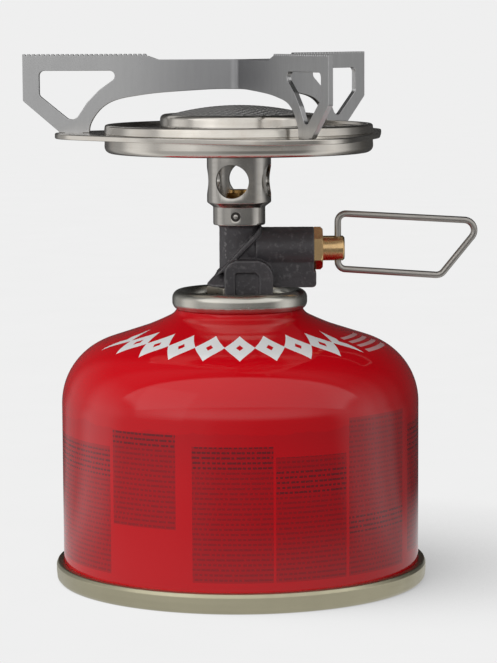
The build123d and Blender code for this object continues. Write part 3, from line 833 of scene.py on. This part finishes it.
def woven_dome(edge_r, pitch, wire):
    """Two sets of wires crossing over and under each other on the dome."""
    verts, faces = [], []
    count = int(edge_r / pitch)
    for along in (0, 1):
        for k in range(-count, count + 1):
            offset = (k + 0.5) * pitch
            if abs(offset) >= edge_r:
                continue
            half = (edge_r * edge_r - offset * offset) ** 0.5
            steps = max(4, int(2 * half / (pitch / 4)))
            path = []
            for i in range(steps + 1):
                s = -half + 2 * half * i / steps
                phase = pi * s / pitch + pi * (k + along)
                lift = wire * 0.55 * sin(phase)
                x, y = (s, offset) if along == 0 else (offset, s)
                path.append((x, y, dome_z(hypot(x, y)) + lift))
            v, f = tube_along(path, wire, 6, closed=False)
            start = len(verts)
            verts += v
            faces += [tuple(i + start for i in face) for face in f]
    turn = radians(12)
    verts = [(x * cos(turn) - y * sin(turn), x * sin(turn) + y * cos(turn), z) for x, y, z in verts]
    return verts, faces


verts, faces = woven_dome(17.2, 1.15, 0.24)
mesh_obj = make("flame_mesh", verts, faces, "head", ["burner_mesh"], weighted=False)
paint(mesh_obj, mat_mesh)
rim_profile = fillet([(16.4, 111.9, 0.1), (17.9, 111.9, 0.1), (17.9, 112.28, 0.1), (16.4, 112.28, 0.1)])
rim = lathe("mesh_rim", rim_profile, "head", (), 192)
paint(rim, mat_mesh)

ARM_ANGLES = (173, 293, 53)     # directions of the three pot supports

# flat plate: a disc with three lobes, each joined to it by straight edges


def plate_outline():
    """The disc and its lobes as one closed run of points."""
    disc, lobe, out = 34.0, 18.0, 27.0
    lean = degrees(acos((disc - lobe) / out))
    lobes = (170, 290, 410)
    points = []
    for i, angle in enumerate(lobes):
        ca, sa = cos(radians(angle)), sin(radians(angle))
        for x, y in arc(out, 0, lobe, -lean, lean, 40):
            points.append((x * ca - y * sa, x * sa + y * ca))
        a1 = lobes[(i + 1) % 3] + (360 if i == 2 else 0) - lean
        points += arc(0, 0, disc, angle + lean, a1, 6)
    return points


def flat_sheet(name, outlines, t, edge=0.15, resolution=3):
    """A sheet lying in XY, centred on z 0 and cut to closed outlines: the outside first, then the holes."""
    curve = bpy.data.curves.new(name, "CURVE")
    curve.dimensions = "2D"
    curve.fill_mode = "BOTH"
    curve.extrude = (t / 2 - edge) * MM
    curve.bevel_depth = edge * MM
    curve.bevel_resolution = resolution
    curve.offset = -edge * MM
    for outline in outlines:
        s = curve.splines.new("POLY")
        s.points.add(len(outline) - 1)
        for p, (x, y) in zip(s.points, outline):
            p.co = (x * MM, y * MM, 0, 1)
        s.use_cyclic_u = True
    obj = bpy.data.objects.new(name, curve)
    bpy.context.scene.collection.objects.link(obj)
    bpy.context.view_layer.update()
    deps = bpy.context.evaluated_depsgraph_get()
    mesh = bpy.data.meshes.new_from_object(obj.evaluated_get(deps))
    bpy.data.objects.remove(obj)
    sheet = bpy.data.objects.new(name, mesh)
    bpy.context.scene.collection.objects.link(sheet)
    return sheet


def slot_at(angle, r, length, width):
    """A slot's outline, pointing outward at an angle and a distance from the axis."""
    ca, sa = cos(radians(angle)), sin(radians(angle))
    r0, r1, half = r - length / 2, r + length / 2, width / 2
    corners = [(r0, -half, 0.15), (r1, -half, 0.15), (r1, half, 0.15), (r0, half, 0.15)]
    return fillet([(x * ca - y * sa, x * sa + y * ca, rr) for x, y, rr in corners])


hole = [(26.0 * cos(2 * pi * k / 128), 26.0 * sin(2 * pi * k / 128)) for k in range(128)]
slots = [slot_at(a, 40.2, 4.5, 1.3) for a in ARM_ANGLES]
plate = flat_sheet("support_plate_metal", [plate_outline(), hole] + slots, 1.3, 0.3, 4)
plate.data.transform(Matrix.Translation((0, 0, 107.65 * MM)))
settle(plate, "head", ["support_plate"])
paint(plate, mat_pan)

# ------------------------------------------------------------------ pot supports

SHEET, SHEET_EDGE = 1.2, 0.13       # thickness of the supports and the rounding of their edges
TIP, TEETH_IN, TOOTH_N = 52.7, 21.9, 26
TEETH_TOP, TEETH_ROOT = 127.3, 126.8
ARM_LOW, FOOT_Z = 118.81, 108.35    # the strip's lower edge at the middle, and the foot's
TOOTH = (TIP - TEETH_IN) / TOOTH_N
BEND_R = 3.5
HALF_BEND = BEND_R * radians(30)
BEND_START = BEND_R / tan(radians(60))


def arch_points():
    """The arch's underside, from the foot inward to the middle of the strip."""
    return smooth_run([
        (36.4, FOOT_Z), (36.1, 110.3), (34.65, 112.8), (32.4, 114.95), (29.3, 116.35), (24.6, 117.25),
        (18.4, 118.0), (6.9, 118.73), (BEND_START, ARM_LOW),
    ], 6)[:-1]


def top_edge():
    """Teeth from the tip inward, the notch, then the plain edge."""
    pts = [(TIP, TEETH_TOP, 0.12)]
    for i in range(TOOTH_N):
        r = TIP - i * TOOTH
        if i:
            pts.append((r, TEETH_TOP, 0.08))
        pts.append((r - 0.5 * TOOTH, TEETH_TOP, 0.08))
        pts.append((r - 0.75 * TOOTH, TEETH_ROOT, 0.08))
    pts += [(TEETH_IN, TEETH_ROOT, 0.3), (20.6, 126.35, 0.6), (19.4, 125.9, 0.8)]
    return pts


def half_outline():
    """One arm's edge from the foot's tenon round the tip and along the teeth to the notch."""
    out = [
        (38.0, FOOT_Z, 0.2), (38.0, 106.85, 0.2), (42.4, 106.85, 0.2), (42.4, FOOT_Z, 0.2),
        (43.6, FOOT_Z, 0.5), (TIP, 116.05, 0.5),
    ]
    return out + top_edge()


def window():
    """The opening in each arm."""
    return fillet([
        (48.62, 123.28, 1.2), (48.62, 117.35, 1.2), (40.3, 110.65, 2.0), (36.9, 115.6, 4.0),
        (33.9, 118.65, 4.0), (27.4, 123.28, 1.73),
    ])


def bend_cuts(obj, xs):
    """Adds straight cuts across the sheet, so that it can bend there."""
    bm = bmesh.new()
    bm.from_mesh(obj.data)
    for x in xs:
        geometry = bm.verts[:] + bm.edges[:] + bm.faces[:]
        bmesh.ops.bisect_plane(bm, geom=geometry, dist=1e-7, plane_co=(x * MM, 0, 0), plane_no=(1, 0, 0))
    bm.to_mesh(obj.data)
    bm.free()


def sheared(obj):
    """Gives the cut edge of a flat sheet, lying in XY, the brighter edge material."""
    for p in obj.data.polygons:
        p.material_index = 1 if abs(p.normal.z) < 0.35 else 0


def bent_position(s, w, mid_r, turn_at, first_dir, second_dir, centre, concave):
    """Where a point lands on the bent strip: s along the unfolded strip and w across its thickness."""
    half = mid_r * radians(30)
    local = s - turn_at
    if local < -half:
        run = -half - local
        d = Vector((cos(radians(first_dir)), sin(radians(first_dir))))
        a = radians(first_dir + 90 * concave)
        foot = Vector(centre) - Vector((cos(a), sin(a))) * mid_r
        return foot + d * run + Vector((cos(a), sin(a))) * w
    if local > half:
        run = local - half
        d = Vector((cos(radians(second_dir)), sin(radians(second_dir))))
        a = radians(second_dir - 90 * concave)
        foot = Vector(centre) - Vector((cos(a), sin(a))) * mid_r
        return foot + d * run + Vector((cos(a), sin(a))) * w
    share = (local + half) / (2 * half)
    a0 = radians(first_dir + 90 * concave)
    a = a0 - radians(60) * concave * share
    inward = Vector((cos(a), sin(a)))
    return Vector(centre) - inward * (mid_r - w)


def bend_sheet(obj, mid_r, turn_at, first_dir, second_dir, centre, concave):
    """Stands a flat sheet upright (its Y becomes Z) and bends it about an upright line."""
    for v in obj.data.vertices:
        s, z, w = v.co.x / MM, v.co.y / MM, v.co.z / MM
        p = bent_position(s, w, mid_r, turn_at, first_dir, second_dir, centre, concave)
        v.co = (p.x * MM, p.y * MM, z * MM)


# first strip: arm at 173 degrees on the negative side, arm at 293 degrees on the positive side.
# the unfolded distance from the middle is shorter than the radius by the corner the bend cuts off
SAVE = BEND_START - HALF_BEND
left = [(-(p[0] - SAVE), p[1], *p[2:]) for p in half_outline()]
right = [(p[0] - SAVE, p[1], *p[2:]) for p in half_outline()]
arch = [(p[0] - SAVE, p[1]) for p in arch_points()]
ab_outline = fillet(right + left[::-1] + [(-x, z) for x, z in arch] + arch[::-1])
ab_window = [(x - SAVE, z) for x, z in window()]
ab_mirrored = [(-x, z) for x, z in ab_window]
strip = flat_sheet("pot_support_pair", [ab_outline, ab_window, ab_mirrored], SHEET, SHEET_EDGE, 3)
bend_cuts(strip, [HALF_BEND * (k / 8 - 1) for k in range(17)])
sheared(strip)
centre_ab = (BEND_R / sin(radians(60)) * cos(radians(233)), BEND_R / sin(radians(60)) * sin(radians(233)))
bend_sheet(strip, BEND_R, 0.0, 173, 293, centre_ab, 1)
settle(strip, "head", ["pot_support_main"])
paint(strip, mat_arm, mat_edge)

# third support: tab along the back of the 173 degree arm, bend, then the arm at 53 degrees
corner = SHEET / cos(radians(30))
mid_c = 1.6
tangent = mid_c / tan(radians(60))
start_c = corner + tangent
half_c = mid_c * radians(30)
shift = start_c - half_c
c_right = [(p[0] - shift, p[1], *p[2:]) for p in half_outline()]
c_arch = [(p[0] - shift, p[1]) for p in arch_points() if p[0] > start_c]
tab_end = -(half_c + 12.74)
c_outline = fillet(c_right + [(tab_end, 125.9, 0.8), (tab_end, ARM_LOW, 0.8)] + c_arch[::-1])
c_window = [(x - shift, z) for x, z in window()]
third = flat_sheet("pot_support_single", [c_outline, c_window], SHEET, SHEET_EDGE, 3)
bend_cuts(third, [half_c * (k / 8 - 1) for k in range(17)])
sheared(third)
toward = mid_c / sin(radians(60))
centre_c = (
    corner * cos(radians(53)) + toward * cos(radians(113)),
    corner * sin(radians(53)) + toward * sin(radians(113)),
)
bend_sheet(third, mid_c, 0.0, 173, 53, centre_c, -1)
settle(third, "head", ["pot_support_third"])
paint(third, mat_arm, mat_edge)

# ------------------------------------------------------------------ hidden pieces keep the CAD mesh

for node, material in (
    ("cup_gasket", mat_rubber), ("stem_gasket", mat_rubber), ("boss_seal", mat_rubber),
    ("spindle_seal", mat_rubber), ("valve_housing", mat_plastic), ("valve_stem", mat_plastic),
    ("valve_spring", mat_wire),
    ("actuator_pin", mat_brass), ("gas_filter", mat_jet),
):
    paint(frame["nodes"][node], material)

# ------------------------------------------------------------------ floor, light and camera


PALE = 0.863    # linear value of the studio's pale grey


def room(n, x, y):
    """How bright the studio looks in polished metal, by bearing: 0 is toward the viewer, + to the right."""
    bearing = n.math("DIVIDE", n.math("ARCTAN2", x, n.math("MULTIPLY", y, -1.0)), 2 * pi)
    ramp = n.add("ShaderNodeValToRGB")
    n.put(n.math("ADD", bearing, 0.5), ramp.inputs[0])
    ramp.color_ramp.interpolation = "EASE"
    stops = (
        (-180, 0.05), (-152, 0.10), (-136, 0.40), (-120, 0.42), (-104, 1.0), (-92, 0.95), (-72, 0.50),
        (-40, 0.52), (-26, 0.46), (-8, 0.28), (15, 0.20), (55, 0.20), (74, 0.75), (88, 1.0), (100, 0.65),
        (114, 0.20), (132, 0.07), (180, 0.05),
    )
    elements = ramp.color_ramp.elements
    for i, (angle, value) in enumerate(stops):
        place = angle / 360 + 0.5
        if i == 0:
            stop = elements[0]
        elif i == len(stops) - 1:
            stop = elements[-1]
        else:
            stop = elements.new(place)
        stop.position = place
        stop.color = (value, value, value, 1)
    return ramp.outputs[0]


def backdrop():
    """A wide flat floor in pale grey with one soft shadow. Metal sees it darken away from the stove."""
    mesh = bpy.data.meshes.new("floor")
    mesh.from_pydata([(-12, -6, 0), (12, -6, 0), (12, 30, 0), (-12, 30, 0)], [], [(0, 1, 2, 3)])
    obj = bpy.data.objects.new("floor", mesh)
    bpy.context.scene.collection.objects.link(obj)
    n = Nodes("pale_floor")
    x, y, _ = n.split(n.coords)
    path = n.add("ShaderNodeLightPath").outputs
    grain = n.spread(n.noise(n.coords, 30.0, 3, 0.5), 0.3, 0.7, 0.995, 1.005)
    shade = n.add("ShaderNodeAmbientOcclusion", samples=16)
    shade.inputs["Distance"].default_value = 0.09
    n.put(n.join(-0.74, -0.52, 0.42), shade.inputs["Normal"])
    shadow = n.spread(shade.outputs["AO"], 0.35, 0.92, 0.48, 1.0)
    seen = n.math("MULTIPLY", grain, n.math("MULTIPLY", PALE, shadow))
    near = n.spread(n.from_axis(x, y), 0.06, 0.16, 1.0, 0.0, smooth=True)
    mirrored = n.math("ADD", n.math("MULTIPLY", near, 0.62),
                      n.math("MULTIPLY", n.math("SUBTRACT", 1.0, near), room(n, x, y)))
    level = n.math("ADD", n.math("MULTIPLY", path["Is Camera Ray"], seen),
                   n.math("ADD", n.math("MULTIPLY", path["Is Glossy Ray"], mirrored),
                          n.math("MULTIPLY", path["Is Diffuse Ray"], 0.33)))
    glow = n.add("ShaderNodeEmission")
    n.put(level, glow.inputs["Strength"])
    n.tree.links.new(glow.outputs[0], n.out.inputs["Surface"])
    n.mat.cycles.emission_sampling = "NONE"
    mesh.materials.append(n.mat)


backdrop()


def studio():
    """Soft light, brighter from the upper left and the front; metal sees a darker room."""
    world = bpy.data.worlds.new("studio")
    world.use_nodes = True
    n = Nodes.__new__(Nodes)
    n.tree = world.node_tree
    n.tree.nodes.clear()
    x, y, z = n.split(n.add("ShaderNodeTexCoord").outputs["Generated"])
    path = n.add("ShaderNodeLightPath").outputs
    slope = n.math("ADD", n.math("MULTIPLY", x, -0.55),
                   n.math("ADD", n.math("MULTIPLY", z, 0.60), n.math("MULTIPLY", y, -0.45)))
    diffuse = n.spread(slope, -0.17, 0.93, 0.03, 1.65)
    # what metal reflects: the room by bearing, a bright band in front and a long panel above it
    high = n.math("MULTIPLY", n.spread(z, -0.02, 0.14, 0.0, 1.0, smooth=True),
                  n.spread(z, 0.22, 0.50, 1.0, 0.08, smooth=True))
    ahead = n.math("MULTIPLY", n.spread(y, -0.95, -0.10, 0.95, 0.0, smooth=True), high)
    rise = n.math("ARCTAN2", z, n.math("MULTIPLY", y, -1.0))
    panel = n.math("MULTIPLY", n.spread(rise, radians(20), radians(25), 0.0, 1.0, smooth=True),
                   n.spread(rise, radians(75), radians(79), 0.95, 0.0, smooth=True))
    panel = n.math("MULTIPLY", panel, n.spread(n.math("ABSOLUTE", x), 0.90, 0.96, 1.0, 0.0, smooth=True))
    bands = n.math("MULTIPLY", room(n, x, y), n.spread(z, 0.05, 0.6, 1.0, 0.25))
    glossy = n.math("ADD", bands, n.math("MAXIMUM", ahead, panel))
    level = n.math("ADD", n.math("MULTIPLY", n.math("SUBTRACT", 1.0, path["Is Glossy Ray"]), diffuse),
                   n.math("MULTIPLY", path["Is Glossy Ray"], glossy))
    level = n.math("ADD", n.math("MULTIPLY", n.math("SUBTRACT", 1.0, path["Is Camera Ray"]), level),
                   n.math("MULTIPLY", path["Is Camera Ray"], PALE))
    back = n.add("ShaderNodeBackground")
    n.put(level, back.inputs["Strength"])
    back.inputs["Color"].default_value = (1, 1, 1, 1)
    out = n.add("ShaderNodeOutputWorld")
    n.tree.links.new(back.outputs[0], out.inputs["Surface"])
    world.cycles.sampling_method = "NONE"
    bpy.context.scene.world = world


studio()


def softbox(name, place, aim, width, height, power):
    """A panel that lights by reflection only, so that the floor stays even."""
    data = bpy.data.lights.new(name, "AREA")
    data.shape = "RECTANGLE"
    data.size, data.size_y = width, height
    data.energy = power
    obj = bpy.data.objects.new(name, data)
    bpy.context.scene.collection.objects.link(obj)
    obj.location = place
    obj.rotation_euler = (Vector(aim) - Vector(place)).to_track_quat("-Z", "Y").to_euler()
    obj.visible_diffuse = False


softbox("left_box", (-0.70, -0.55, 0.40), (0, 0, 0.08), 0.60, 0.80, 0.35)
bpy.context.scene.view_settings.view_transform = "Standard"

CAMERA_PLACE = (0.001418, -0.63588, 0.132545)
CAMERA_PAN, CAMERA_TILT, CAMERA_ROLL = -0.0601, -6.4975, -0.3063     # degrees from level, facing +Y

camera_data = bpy.data.cameras.new("camera")
camera_data.sensor_width = 36
camera_data.lens = 143.11
camera_data.clip_start = 0.01
camera_data.clip_end = 20
camera = bpy.data.objects.new("camera", camera_data)
bpy.context.scene.collection.objects.link(camera)
camera.matrix_world = (
    Matrix.Translation(CAMERA_PLACE)
    @ Matrix.Rotation(radians(CAMERA_PAN), 4, "Z")
    @ Matrix.Rotation(radians(90 + CAMERA_TILT), 4, "X")
    @ Matrix.Rotation(radians(CAMERA_ROLL), 4, "Z")
)
bpy.context.scene.camera = camera
